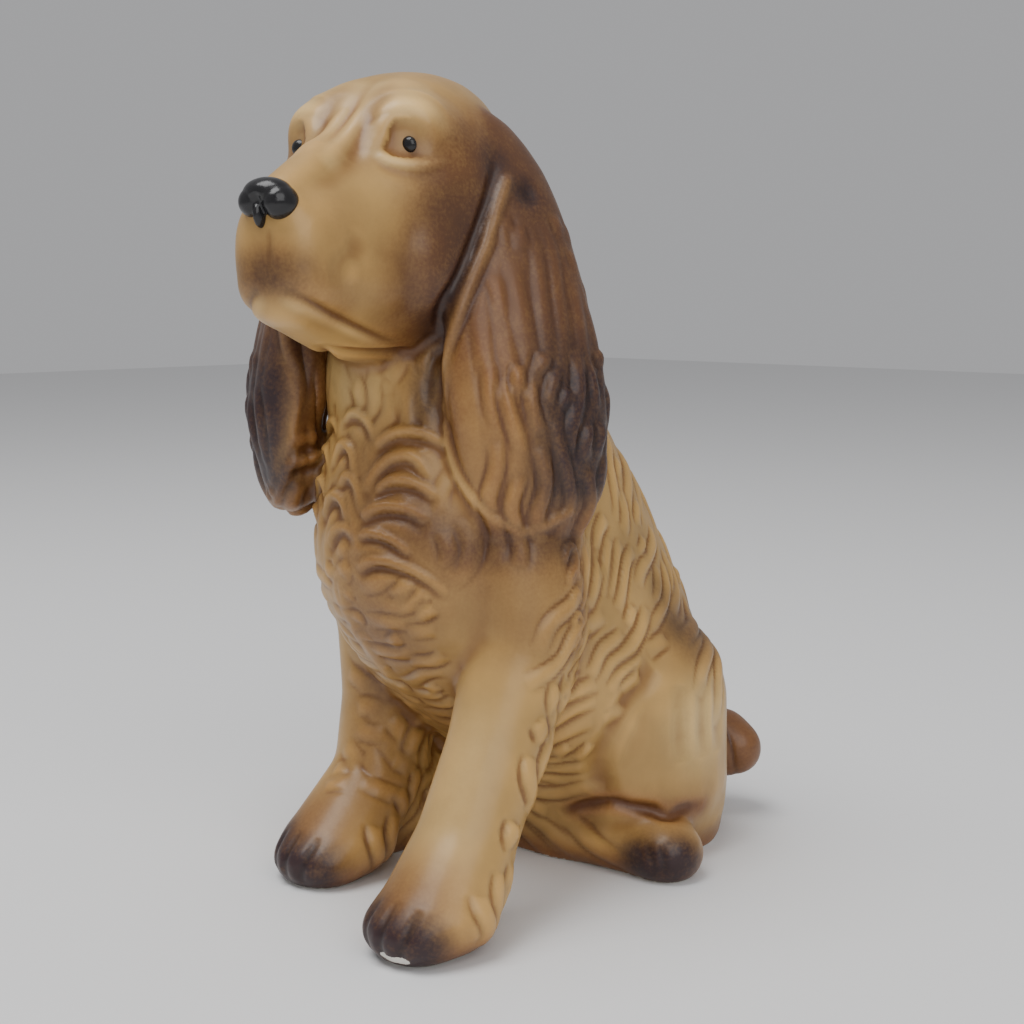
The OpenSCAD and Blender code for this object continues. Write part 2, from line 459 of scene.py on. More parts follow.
# %% [markdown]
# ## The ears
# Each ear hangs from the skull as a long flap, wide below, with a turned rim in front. Its hair is
# plain above and falls in long waves below. The comb goes round the whole flap, so the ear is right
# from behind too.

# %% Model the rims and comb the ears
start_relief()


def tuck(z, side):
    """How far the dog's right ear hangs in towards the neck, at a height from the eyes."""
    return np.interp(z, [-107, -95, -80, -62], [6, 4.8, 2.4, 0.6]) * (side < 0)


def skull_line(places, side, count=60):
    return on_skin([on_skull(side * (x - tuck(z, side)), y, z) for x, y, z in places], count)


def skull_frame(points):
    """Points given by the skull's directions instead, for both sides at once."""
    away = points - np.array(on_skull(0, 0, 0))
    return np.stack([away @ np.array(across), away @ np.array(back), away[:, 2]], 1)


RIM = [(37, 23, -9), (36.5, 18, -17), (36, 12.5, -27), (34, 8, -36), (31.5, 3, -47), (28, 1, -58),
       (25.5, 3, -72), (27.5, 2, -85), (32.5, 1, -96), (41, 3, -106), (50, 11, -111), (58, 22, -106)]
CREASE = [(35, 21, -3), (34.5, 17, -12), (33.5, 11, -24), (31, 5, -36), (27.5, 1, -45), (23, 3, -55),
          (21, 4, -66), (20, 4, -78)]
EAR_SPOT = (41, 28, -13)
for side in SIDES:
    ridge(skull_line(RIM, side), 2.9, 1.25, tapered=False)
    groove(skull_line([(x + 2.6, y + 2.4, z) for x, y, z in RIM[2:]], side), 1.8, 0.7)
    groove(skull_line(CREASE, side), 2.8, 1.7)
    thumb(on_skull(side * EAR_SPOT[0], EAR_SPOT[1], EAR_SPOT[2]), 6, -1.2)
    ear = is_part("left_ear" if side > 0 else "right_ear")
    x, y, z = skull_frame(skin).T
    x = x * side + tuck(z, side)
    inside_rim = ear & (z < -18) & (y + 0.35 * x > 18)
    deep = inside_rim & (z < -58) & (z > -104)
    print("locks:", comb(deep, lambda place: (0, 0, -1), 5.0, 38, 1.25, wave=0.34, pitch=36),
          comb(inside_rim & (z > -56), lambda place: (0, 0, -1), 5.6, 44, 0.5, wave=0.12, pitch=50))
finish_relief(rounds=1)

# %% [markdown]
# ## The coat
# The hair changes with its place. Stacked arches lie below the throat, wavy locks fan over the
# chest, long locks sweep down and forward along the flanks, and short feathering follows the rear
# of the forelegs. Each area has a function that gives the way its hair lies.

# %% Model the arches of hair below the throat
start_relief()
NECK_BY_EAR = (-20, -46, 162)
thumb(NECK_BY_EAR, 22, 3.0)


def from_front(x, z):
    """The chest's skin at that place, seen from the front."""
    return tree.ray_cast(Vector((x, -300, z)), Vector((0, 1, 0)))[0]


def arch(x, z, half, sag, lean, width, height):
    """A raised arch of hair: its ends hang by sag, and the one to the dog's left by lean more."""
    line = []
    for k in range(17):
        t = k / 8 - 1
        place = from_front(x + half * t, z - sag * abs(t) ** 2.4 - lean * t)
        if place is not None:
            line.append(place)
    if len(line) > 6:
        ridge(line, width, height)
        groove([p - Vector((0, 0, width)) for p in line], width * 1.1, height * 0.8)


ARCHES = [(19, 146, 9, 5, 0), (18, 139, 8, 9, -2), (21, 132, 8, 4, 1), (19, 124.5, 9, 4, 0),
          (17, 116, 8, 3, 2), (21, 108, 12, 6, 3), (2, 150, 8, 6, 3), (-2, 141, 6, 9, 2),
          (3, 132, 5, 8, 3), (-3, 126, 6, 8, 0), (1, 117, 6, 5, -2), (-16, 147, 7, 6, -2),
          (-19, 138, 7, 8, -3), (-17, 129, 6, 7, -2), (-21, 120, 7, 6, -1)]
for x, z, half, sag, lean in ARCHES:
    arch(x, z, half, sag, lean, vary(2.6, 0.15), vary(1.6, 0.2))
print(len(ARCHES), "arches below the throat")

# %% [markdown]
# On each side of the arches the hair falls straight. Lower down it turns in from both sides to
# the keel, the ridge down the middle of the chest, so its way depends on the height.

# %% Comb the chest
body_skin = is_part("body")
px, py, pz = skin.T
face_on = outward[:, 1]


def chest_way(place):
    """Straight down below the throat, and in towards the keel lower down."""
    inward = np.interp(place.z, [98, 112], [1.0, 0.15])
    return (-math.copysign(inward, place.x - KEEL_X), 0, -0.25 - 0.75 * (1 - inward))


KEEL_X = 2.0
chest = body_skin & (face_on < -0.25) & (pz > 56) & (pz < 169) & (abs(px - KEEL_X) < 34)
lower_chest = chest & (pz < 106) & (abs(px - KEEL_X) < 28)
upper_chest = chest & (pz > 104) & ((abs(px - 19) > 12) | (pz > 150))
print("chest locks:", comb(lower_chest, chest_way, 4.8, 24, 0.75, wave=0.35, pitch=24),
      comb(upper_chest, chest_way, 5.4, 22, 0.5, wave=0.5, pitch=22))
KEEL = [(1, -62, 108), (-2, -59, 94), (0, -50, 78), (0, -38, 64), (3, -29, 54)]
ridge(on_skin(KEEL), 5.5, 1.0)

# %% [markdown]
# The thighs are smooth on the real figure, and the hair goes round them. The comb is given the
# skin to cover as a mask, so the thigh is an ellipse that is left out of it. Feathering is the
# longer hair behind the forelegs, and the same comb lays it with shorter, higher locks.

# %% Comb the flanks, the back and the feathering
def flank_way(place):
    """Down behind the neck, then down and forward along the flank."""
    forward = np.interp(place.z, [25, 50, 80, 110, 140, 165], [0.9, 1.2, 1.3, 0.75, 0.3, 0.05])
    rearward = np.interp(place.y, [35, 65], [0, 0.7])
    return (0, rearward - forward, -1)


THIGH_AT = (42, 42)      # the thigh's middle, back and up
THIGH_HALF = (33, 31)    # half its length and half its height
thigh = ((py - THIGH_AT[0]) / THIGH_HALF[0]) ** 2 + ((pz - THIGH_AT[1]) / THIGH_HALF[1]) ** 2 < 1
thigh |= (py > 8) & (pz < 32)
shoulder_edge = np.interp(pz, [20, 55, 80, 110, 165], [-8, -8, -10, -12, -26])
flank = body_skin & (face_on > -0.6) & (py > shoulder_edge) & ~thigh & (pz > 12) & (pz < 184)
print("flank locks:", comb(flank, flank_way, 5.0, 28, 0.95, wave=0.42, pitch=27, tries=6000))


def feather_way(place):
    return (0, -0.1, -1)


for node in ("left_foreleg", "right_foreleg"):
    feathers = is_part(node) & (pz > 16) & (pz < 74) & (outward[:, 1] > -0.1)
    print("feather locks:", comb(feathers, feather_way, 6.8, 18, 1.3, wave=0.55, pitch=20))
web = body_skin & (px > -20) & (px < 26) & (pz > 10) & (pz < 56) & (face_on < -0.1)
print("web locks:", comb(web, lambda place: (1, 0, -0.25), 5.6, 30, 0.7, wave=0.4, pitch=24))
inner_leg = is_part("right_foreleg") & (outward @ np.array((0.7, -0.7, 0)) > 0.2) & (pz > 27) & (px > -30)
print("foreleg locks:", comb(inner_leg, lambda place: (1, 0.4, -0.35), 5.6, 24, 0.55, wave=0.5, pitch=20))
TUFT = ((0, -3.5, -4), (0, 0, 0.5), (0, 3.5, -4))
for side in SIDES:
    for z in (112, 105, 98, 91, 84):
        spot = touch((side * 51 + 3, -14, z), 14)
        if spot is not None:
            ridge(on_skin([spot + Vector(step) for step in TUFT], 12), 2.0, 1.4)

# %% [markdown]
# Three short grooves part the toes of each forepaw. A deep fold runs over each hind foot, where
# the haunch rests on it, and another down the front of the thigh. The folds are given from the
# body's middle line outwards, so that one list serves both sides.

# %% Model the paws and the folds round the haunches
PAWS = [(46.5, -74), (-22, -56)]
TOE_GAPS = (-8.5, -0.5, 7.5)
FOOT_FOLD = [(20, 12, 19), (30, 10, 21.5), (38, 13, 24.5), (44, 18, 23), (53, 28, 21), (50, 44, 20)]
THIGH_FOLD = [(46, 26, 68), (45, 14, 58), (41, 8, 44), (38, 9, 32), (39, 13, 25)]


def beside(side, places):
    return on_skin([(BODY_X + side * x, y, z) for x, y, z in places])


for x, y in PAWS:
    for shift in TOE_GAPS:
        toe = x + shift
        groove(on_skin([(toe, y - 4, 17), (x + shift * 1.05, y - 10, 11), (toe, y - 14, 4),
                        (toe, y - 13, 0)]), 2.4, 0.9)
for side in SIDES:
    groove(beside(side, FOOT_FOLD), 3.2, 2.2)
    groove(beside(side, THIGH_FOLD), 6.5, 2.0)
    for y in (33, 44, 54):
        groove(beside(side, [(52, y, 62), (54, y - 1, 48), (54, y, 36)]), 5, 0.9)
    for x in (56, 61):
        groove(beside(side, [(x - 4, 16, 14), (x, 13, 7), (x, 13, 1)]), 2.2, 0.7)
finish_relief(rounds=1)
print("The coat is combed")

# %% [markdown]
# The caster rubs the base flat on wet sandpaper, so every point below the floor goes up to it.
# The hole lets the clay drain out and the hot air escape. Seen from below it is a dark recess,
# so the skin is pressed in a little way there.

# %% Set the figure flat on its base and press in the drain hole
start_relief()
base = skin.copy()
from_drain = np.linalg.norm(skin[:, :2] - np.array(DRAIN_AT), axis=1)
base[:, 2] = np.maximum(base[:, 2], 0)
drain = (from_drain < DRAIN_R + 1) & (skin[:, 2] < 2)
base[drain, 2] = DRAIN_DEEP * np.clip(DRAIN_R + 1 - from_drain[drain], 0, 1)
clay.data.vertices.foreach_set("co", (base * MM).ravel())
clay.data.update()
print("The base stands at", round(float(base[:, 2].min()), 2), "mm")

# %% [markdown]
# ## The airbrush
# The decorator sprays thin colours over the dry clay before the clear glaze: brown in the folds, a reddish
# brown round the base, and a dark plum on the ears, the toes and the back. Some passes are painted light
# rather than colour: brown and plum put in creases, under the ears and between the forelegs are painted
# shade, and a pale colour on lids, brows, rims, the thighs and the neck is painted highlight. Each pass is
# kept as a soft mask on the skin, a vertex attribute, and the glaze material mixes its colours by them. The
# relief itself gives one more mask, because glaze runs off the ridges into the grooves, and it also paints
# shade into the grooves and a highlight onto the ridges.

# %% Airbrush passes
start_relief()
px, py, pz = skin.T
# The first mask is a painted highlight; the others are sprayed colours, with brown and plum also used as
# painted shade.
COLOURS = ("pale", "rust", "brown", "plum", "bare")
sprayed = {colour: np.zeros(len(skin)) for colour in COLOURS}


def spray(colour, line, reach, strength, where=None):
    """One pass along a line of places. A single place makes a round spot."""
    if len(line) == 1:
        line = [line[0], line[0]]
    which, far, _ = near_line(line, reach)
    puff = strength * bell(far, reach)
    if where is not None:
        puff = puff * where[which]
    mask = sprayed[colour]
    mask[which] = 1 - (1 - mask[which]) * (1 - puff)


def lift_dark_for_highlight(line, reach, strength):
    """Takes the dark colours off along a line, for a painted highlight there."""
    which, far, _ = near_line(line, reach)
    for colour in ("rust", "brown", "plum"):
        sprayed[colour][which] *= 1 - strength * bell(far, reach)


def wipe(colour, mask):
    sprayed[colour] = 1 - (1 - sprayed[colour]) * (1 - np.clip(mask, 0, 1))


def ramp(values, start, end):
    """0 at the start, 1 at the end, and soft between them."""
    t = np.clip((values - start) / (end - start), 0, 1)
    return t * t * (3 - 2 * t)


def tell_coverage(after):
    """Prints how much of the skin each colour covers so far."""
    print("After", after + ":", {colour: f"{mask.mean():.1%}" for colour, mask in sprayed.items()})


# %% [markdown]
# The face stays pale. Brown darkens the cheeks towards the ears and runs thinly along the mouth. Brown and
# plum are painted shade in the crease before each ear, in the brow hollows and the inner sockets, under the
# front of the upper lip and in the groove under the jaw. A pale colour on the lids, the brows, the forehead
# and the lower lip is painted highlight, where they catch the light.

# %% Spray the face
def at_face(side, *places):
    return [on_head(side * x, y, z) for x, y, z in places]


for side in SIDES:
    crease = [on_skull(side * x, y, z) for x, y, z in CREASE]
    spray("brown", crease, 34, 0.9, where=~is_part("body"))
    spray("plum", at_face(side, (30, 3, -18), (28, 0, -32), (26, 0, -46)), 18, 0.5)
    spray("brown", at_face(side, (29, 3, -12), (28, 0, -28), (26, -1, -46)), 25, 0.92)
    # Painted shade: a narrow plum line in the crease between the ear and the cheek.
    spray("plum", crease, 8, 0.7)
    spray("plum", [on_skull(side * 33, 18, -2)], 15, 0.4)
    spray("brown", [on_skull(side * 30, 16, -4)], 24, 0.6)
    # Painted shade: brown in the brow hollow and the inner socket.
    spray("brown", at_face(side, *BROW_HOLLOW), 8, 0.5)
    spray("brown", at_face(side, (13, -14, -3), (17, -10, 6)), 7, 0.35)
    spray("brown", at_face(side, (12, -34, -22), (12, -22, -36)), 20, 0.24)
    # Painted shade: brown under the front of the upper lip, towards the corner of the mouth.
    spray("brown", at_face(side, (0, -49, -35), (8, -46, -37), (9, -32, -45)), 12, 0.6)
    spray("brown", at_face(side, *MOUTH), 3.2, 0.3)
    # Painted shade: brown in the groove under the jaw.
    spray("brown", at_face(side, (14, 1, -58), (22, 6, -53)), 10, 0.7)
    # Painted shade: plum under the overhanging front of the upper lip.
    spray("plum", at_face(side, (0, -50, -38), (8, -47, -37)), 9, 0.5)
    # Painted highlight: pale colour on the lids, the socket rims, the inner brows, the forehead and the
    # lower lip.
    spray("pale", at_face(side, *LOWER_LID), 2.6, 0.9)
    spray("pale", at_face(side, *SOCKET_RIM), 5, 0.6)
    spray("pale", at_face(side, *INNER_BROW), 5, 0.4)
    spray("pale", at_face(side, (16, -2, 18)), 18, 0.5)
    spray("pale", at_face(side, *[(x, y, z - 3) for x, y, z in MOUTH]), 3.4, 0.6)
spray("brown", [on_head(0, 30, 16), on_head(0, 50, -10)], 26, 0.4)
tell_coverage("the face")

# %% [markdown]
# The ears are the darkest part. Brown covers them from the top, and plum lies on the rear half of
# the left ear and on the outer side of the right one. The masks come from each point's place
# across the flap, worked out from the ear's middle line, which leans out on its way down.

# %% Spray the ears
for side in SIDES:
    ear = is_part("left_ear" if side > 0 else "right_ear")
    x, y, z = skull_frame(skin).T
    x = x * side + (EYE_SHIFT if side > 0 else -EYE_SHIFT) + tuck(z, side)
    middle_x = np.interp(z, [-114, -80, -42, -6], [45, 45, 38, 29])
    middle_y = np.interp(z, [-114, -80, -42, -6], [21, 22, 25, 30])
    rearward = ((x - middle_x) * 0.57 + (y - middle_y) * 0.82) / 24
    outer = ((x - middle_x) * 0.82 - (y - middle_y) * 0.57) / 11
    edge = rearward if side > 0 else rearward * 0.3 + outer * 0.9 + 0.4
    low = ramp(z, -30, -72) * ramp(z, -112, -98)
    wipe("plum", ear * ramp(edge, -0.5, 0.25) * low * (0.9 if side > 0 else 0.97))
    wipe("plum", ear * ramp(edge, -0.8, 0.4) * ramp(z, -60, -25) * 0.5)
    wipe("brown", ear * (0.6 + 0.36 * ramp(z, -88, -45)) * ramp(rearward, -1.0, -0.6))
    wipe("brown", ear * (0.45 if side < 0 else 0.1))
    spray("plum", [on_skull(side * EAR_SPOT[0], EAR_SPOT[1], EAR_SPOT[2])], 9, 0.95)
    rim = [on_skull(side * x, y, z) for x, y, z in RIM]
    # Painted highlight: a pale line along the turned rim, and the dark colours taken off it.
    spray("pale", rim, 3, 0.3)
    lift_dark_for_highlight(rim, 3.0, 0.5)
tell_coverage("the ears")

# %% [markdown]
# On the body, dark colours lie across the back above the haunches and over the hind feet. The brown and plum
# band below the ears is a painted shadow of the ears, the brown on the left shoulder is painted shade under
# the ear, and pale spots on the thighs and on the neck below the chin are painted highlight. First the brown
# and the plum of the head are averaged a little, so that no hard edge shows where the ears meet the body.

# %% Spray the coat
def both(*places):
    """The same places on both sides of the body."""
    return [[Vector((BODY_X + side * (x - BODY_X), y, z)) for x, y, z in places] for side in SIDES]


for colour in ("brown", "plum"):
    sprayed[colour] = neighbours_mean(sprayed[colour], 8)
# Painted shadow of the ears: a brown and plum band, darkest below each ear's tip, on the chest and
# shoulders.
for line in both((24, -50, 119), (36, -44, 113), (47, -30, 112), (54, -14, 114)):
    spray("brown", line, 17, 0.75)
    spray("plum", line, 10, 0.4)
for line in both((52, -15, 111)):
    spray("plum", line, 7, 0.6)
for line in both((51, -15, 106), (51.6, -9.8, 94.7), (53.7, -15.5, 80.7)):
    spray("brown", line, 6, 0.5)
for line in both((48, 46, 76), (42, 66, 74), (BODY_X, 80, 76)):
    spray("brown", line, 25, 0.5)
    spray("plum", line, 15, 0.5)
for line in both((43, 36, 92), (50, 42, 80)):
    spray("plum", line, 9, 0.35)
for line in both((31, 10, 20), (42, 13, 25), (48, 18, 23), (57, 28, 21), (55, 44, 19)):
    spray("rust", line, 6, 0.8)
    spray("brown", line, 12, 0.45)
# Painted highlight: a pale spot on each thigh.
for line in both((58, 44, 48)):
    spray("pale", line, 24, 0.8)
for line in both((57, 13, 6), (67, 21, 7)):
    spray("brown", line, 21, 0.75)
    for _ in range(2):
        spray("plum", line, 14, 0.95)
spray("brown", [(19, -46, 160), (26, -44, 150)], 14, 0.5)
# Painted highlight: pale on the neck below the chin.
spray("pale", [(-12, -50, 165), (2, -52, 156)], 18, 0.5)
spray("brown", [(14, -56, 132), (12, -62, 108), (10, -54, 84)], 34, 0.7)
# Painted shade: brown on the left shoulder, under the ear.
spray("brown", [(37, -42, 103), (49, -32, 92), (51, -22, 96)], 26, 0.5)
spray("brown", [(BODY_X, 20, 172), (BODY_X, 30, 150)], 40, 0.35)
tell_coverage("the coat")

# %% [markdown]
# The toes are sprayed with plum, over a wider puff of brown. A pale strip down the front of the left foreleg
# is painted highlight, and brown between the forelegs and on their inner sides is painted shade. The base
# gets a reddish brown edge. The underside has no glaze, or it would stick to the kiln shelf, so it shows the
# bare clay. So does a small chip at the front of the left forepaw.

# %% Spray the legs, the tail and the base
TOES = {"left_foreleg": [(37, -84, 7), (46, -88, 6), (55, -83, 7)],
        "right_foreleg": [(-32, -62, 8), (-24, -68, 6), (-13, -65, 6)]}
for node, line in TOES.items():
    x, y, z = line[1]
    spray("brown", [(x, y + 6, z + 6)], 28, 0.8)
    for _ in range(2):
        spray("plum", line, 16, 0.95)
    spray("rust", [(x, y + 14, z + 10)], 26, 0.4)
# Painted highlight: a pale strip down the front of the left foreleg.
spray("pale", [(44, -52, 60), (46, -66, 34)], 18, 0.3)
# Painted shade: brown between the forelegs and on their inner sides.
spray("brown", [(-20, -32, 58), (-16, -38, 32)], 22, 0.55)
spray("brown", [(2, -30, 14), (4, -24, 40), (8, -24, 60)], 24, 0.65)
spray("brown", [(24, -30, 12), (24, -24, 55)], 12, 0.6)
wipe("rust", neighbours_mean(is_part("tail") * 0.7, 6))
wipe("brown", neighbours_mean(is_part("tail") * 0.6, 6))
wipe("plum", neighbours_mean(is_part("tail") * 0.3, 6))
wipe("rust", 0.8 * ramp(pz, 11, 1))
wipe("brown", 0.5 * ramp(pz, 16, 1))
wipe("bare", (outward[:, 2] < -0.7) * (pz < 0.6))
CHIP = [(46, -85.5, 3.6), (49, -84.8, 3.2), (53, -83, 3.4)]
spray("bare", CHIP, 2.6, 1.0)
tell_coverage("the legs, the tail and the base")


# %% [markdown]
# Glaze pools in the hollows and runs thin on the ridges, and the same mask also puts painted shade in the
# grooves and a painted highlight on the ridges. Comparing each point with the average of the skin round it
# tells which is which: a few rounds find the locks, many find the larger forms.

# %% Measure how the relief stands up or lies low
def standing(times):
    """How far each point stands above the skin around it, in millimetres."""
    round_it = np.stack([neighbours_mean(axis, times) for axis in skin.T], 1)
    return ((skin - round_it) * outward).sum(1)


fine, wide = standing(3), standing(18)
# A mask for painted shade in the grooves and painted highlight on the ridges, partly the glaze's pooling.
crest = np.clip(0.5 + 1.3 * fine + 0.55 * wide, 0, 1)
print("crest from", round(float(crest.min()), 2), "to", round(float(crest.max()), 2))
for name, values in {**sprayed, "crest": crest}.items():
    clay.data.attributes.new(name, "FLOAT", "POINT").data.foreach_set("value", values)

# %% [markdown]
# ## Parting the lump into castings
# The real figure comes out of several moulds, so the finished lump is parted along the lines where
# the castings were luted together. Each face of the skin takes the casting nearest to it, and the
# lines are evened out by a vote among neighbours. The cut edges are then turned inwards and closed,
# and every piece keeps the shading of the whole, because the real seams are sponged away.

# %% Give every face its casting
votes = np.zeros((len(skin), len(CASTINGS)))
votes[np.arange(len(skin)), casting_of] = 1
for _ in range(8):
    face_votes = votes[QUADS].sum(1)
    votes = np.zeros_like(votes)
    for corner in QUADS.T:
        np.add.at(votes, corner, face_votes)
    votes /= votes.sum(1)[:, None]
casting = votes[QUADS].sum(1).argmax(1)

ends = np.sort(np.stack([QUADS, np.roll(QUADS, -1, 1)], 2).reshape(-1, 2), 1)
owner = np.repeat(np.arange(len(QUADS)), 4)
order = np.lexsort((ends[:, 1], ends[:, 0]))
edge_ends, pairs = ends[order][::2], owner[order].reshape(-1, 2)
print(len(pairs), "edges join the faces in pairs")

# %% [markdown]
# A vote can leave two faults. A casting may get an island inside another one, which would part as
# a crumb of its own, and two corners of a seam may touch at one point, which no solid can have.
# Islands go to the casting round them, and the faces round a touching point all go to one casting.

# %% Mend islands and touching corners
def keep_one_patch(casting):
    """Gives stray islands of a casting to the casting around them."""
    patch = np.arange(len(QUADS))
    while True:
        same = casting[pairs[:, 0]] == casting[pairs[:, 1]]
        a, b = pairs[same].T
        least = patch.copy()
        np.minimum.at(least, a, patch[b])
        np.minimum.at(least, b, patch[a])
        least = least[least]
        if (least == patch).all():
            break
        patch = least
    names, sizes = np.unique(patch, return_counts=True)
    biggest = {}
    for name, size in zip(names, sizes):
        if size > biggest.get(casting[name], (0, 0))[0]:
            biggest[casting[name]] = (size, name)
    stray = ~np.isin(patch, [name for _, name in biggest.values()])
    for _ in range(200):
        touching = np.concatenate([pairs, pairs[:, ::-1]])
        touching = touching[stray[touching[:, 0]] & ~stray[touching[:, 1]]]
        if not len(touching):
            break
        casting[touching[:, 0]] = casting[touching[:, 1]]
        stray[touching[:, 0]] = False
    return casting


def mend_corners(casting):
    """Where a seam touches itself at a point, the faces round that point go to one casting."""
    for _ in range(20):
        seam = casting[pairs[:, 0]] != casting[pairs[:, 1]]
        meets = np.zeros((len(skin), len(CASTINGS)), int)
        for column in (0, 1):
            for half in (0, 1):
                np.add.at(meets, (edge_ends[seam, column], casting[pairs[seam, half]]), 1)
        knots = np.flatnonzero((meets > 2).any(1))
        if not len(knots):
            break
        for knot in knots:
            casting[(QUADS == knot).any(1)] = votes[knot].argmax()
    return casting


casting = mend_corners(keep_one_patch(mend_corners(casting)))
print({node: int((casting == k).sum()) for k, node in enumerate(CASTINGS)})

# %% [markdown]
# Separate by material parts a mesh in one step, so each face first takes a material named for its
# casting. The cut leaves open shells. Their rims are turned inwards and capped, which makes each
# piece a closed solid without changing anything that shows. Custom normals, copied from the whole
# lump, keep the shading from showing the seam.

# %% Part the lump and close the pieces
facing = clay.data.attributes.new("facing", "FLOAT_VECTOR", "POINT")
facing.data.foreach_set("vector", outward.ravel())
clay.data.materials.clear()
for node in CASTINGS:
    clay.data.materials.append(bpy.data.materials.new(node))
clay.data.polygons.foreach_set("material_index", casting.astype(np.int32))
edit(clay, lambda: bpy.ops.mesh.separate(type="MATERIAL"))
parted = {o.data.materials[o.data.polygons[0].material_index].name: o
          for o in bpy.context.selected_objects}
TURNED_IN = 2.5


def close_casting(piece):
    """Turns the cut edges inwards and closes them, so that the piece is solid."""
    mesh = bmesh.new()
    mesh.from_mesh(piece.data)
    way_out = mesh.verts.layers.float_vector["facing"]
    rim = [e for e in mesh.edges if e.is_boundary]
    inner = {}
    for v in {v for e in rim for v in e.verts}:
        inner[v] = mesh.verts.new(v.co - v[way_out] * TURNED_IN * MM)
        inner[v][way_out] = v[way_out]
    for e in rim:
        a = e.link_loops[0].vert
        c = e.other_vert(a)
        mesh.faces.new((c, a, inner[a], inner[c]))
    caps = bmesh.ops.holes_fill(mesh, edges=[e for e in mesh.edges if e.is_boundary], sides=0)["faces"]
    bmesh.ops.triangulate(mesh, faces=caps)
    bmesh.ops.recalc_face_normals(mesh, faces=mesh.faces)
    print(piece.name, "open edges:", sum(1 for e in mesh.edges if len(e.link_faces) != 2),
          "triangles:", sum(len(f.verts) - 2 for f in mesh.faces))
    mesh.to_mesh(piece.data)
    mesh.free()
    piece.data.polygons.foreach_set("use_smooth", [True] * len(piece.data.polygons))
    normals = np.empty(len(piece.data.vertices) * 3)
    piece.data.attributes["facing"].data.foreach_get("vector", normals)
    piece.data.normals_split_custom_set_from_vertices(normals.reshape(-1, 3))
    piece.data.attributes.remove(piece.data.attributes["facing"])
    piece.data.materials.clear()


for node, piece in parted.items():
    piece.name = "modelled_" + node
    close_casting(piece)
    bpy.data.materials.remove(bpy.data.materials[node])

# %% [markdown]
# ## The black enamel
# The nose and the eyes are painted on in thick black enamel over the glaze. The nose is a round
# button of clay under its paint: two lobes, a bridge over them and a drip that ran down between
# them. Balls are pressed together by Voxel Remesh, smoothed, and the crease is pushed in.

# %% Press balls together into one form
PAINT_VOXEL = 0.3


def pressed_balls(name, balls):
    """One smooth form of balls, each given by its middle and its radii in the head's directions."""
    bpy.ops.object.select_all(action="DESELECT")
    made = []
    for at, radii in balls:
        bpy.ops.mesh.primitive_uv_sphere_add(segments=32, ring_count=16, radius=1,
                                             location=on_head(*at) * MM, rotation=(0, 0, HEAD_TURN),
                                             scale=[r * MM for r in radii])
        made.append(bpy.context.object)
    for ball in made:
        ball.select_set(True)
    bpy.ops.object.join()
    form = bpy.context.object
    form.name = name
    bpy.ops.object.transform_apply(location=True, rotation=True, scale=True)
    finish_modifier(form, "REMESH", mode="VOXEL", voxel_size=PAINT_VOXEL * MM)
    finish_modifier(form, "SMOOTH", factor=0.5, iterations=6)
    return form


def press(form, at, reach, depth):
    """Pushes a hollow into a small form, straight backwards."""
    middle = on_head(*at)
    for v in form.data.vertices:
        far = (v.co / MM - middle).length
        if far < reach:
            v.co += back * depth * (1 - (far / reach) ** 2) ** 2 * MM


NOSE_X, NOSE_BACK = -1.6, -45.5
nose = pressed_balls("painted_nose", [
    ((NOSE_X - 4.0, NOSE_BACK, -17.8), (4.4, 5.2, 4.4)), ((NOSE_X + 4.2, NOSE_BACK, -18.0), (4.6, 5.6, 4.9)),
    ((NOSE_X, NOSE_BACK, -15.4), (7.2, 5.6, 4.2)), ((NOSE_X - 0.8, NOSE_BACK - 2, -21), (1.6, 3.2, 3.9))])
press(nose, (NOSE_X - 0.2, NOSE_BACK - 6, -17.5), 2.4, 1.2)
press(nose, (NOSE_X + 1.6, NOSE_BACK - 6, -20.5), 1.8, 1.4)
EYE_R = 2.5
eyes = {}
for side, name, middle_of in ((1, "left_painted_eye", left_eye), (-1, "right_painted_eye", right_eye)):
    away = touch(middle_of) - head_at
    eye_at = (away.dot(across), away.dot(back) + 0.3, away.z)
    eyes[side] = pressed_balls(name, [(eye_at, (EYE_R, 1.6, EYE_R))])
for piece in (nose, eyes[1], eyes[-1]):
    pick(piece)
    bpy.ops.object.shade_smooth()
    print(piece.name, "has", len(piece.data.polygons), "faces")

# %% [markdown]
# ## The glaze
# One node group mixes the sprayed colours. A fine noise breaks up the edge of every pass into the airbrush's
# droplets, a wide one lets the honey wash pool unevenly, and the relief mask darkens the grooves as painted
# shade and lightens the ridges as painted highlight, partly standing for the glaze's pooling. It puts out a
# colour, a roughness and a height, and each material places it with its own wash.

# %% Helpers for material nodes
def new_node(tree, kind, place, **settings):
    made = tree.nodes.new(kind)
    made.location = place
    for name, value in settings.items():
        setattr(made, name, value)
    return made


def math_node(tree, operation, a, b, place, clamp=False):
    """A Math node whose inputs are sockets or plain numbers."""
    made = new_node(tree, "ShaderNodeMath", place, operation=operation, use_clamp=clamp)
    for socket, value in zip(made.inputs, (a, b)):
        if isinstance(value, (int, float)):
            socket.default_value = value
        else:
            tree.links.new(value, socket)
    return made.outputs[0]


def mix_colours(tree, amount, a, b, place, blend="MIX"):
    made = new_node(tree, "ShaderNodeMix", place, data_type="RGBA", blend_type=blend)
    for socket, value in zip((made.inputs[0], made.inputs[6], made.inputs[7]), (amount, a, b)):
        if isinstance(value, (int, float, tuple)):
            socket.default_value = value
        else:
            tree.links.new(value, socket)
    return made.outputs[2]


def noise_node(tree, vector, scale, detail, place):
    made = new_node(tree, "ShaderNodeTexNoise", place)
    made.inputs["Scale"].default_value = scale
    made.inputs["Detail"].default_value = detail
    tree.links.new(vector, made.inputs["Vector"])
    return made.outputs["Fac"]


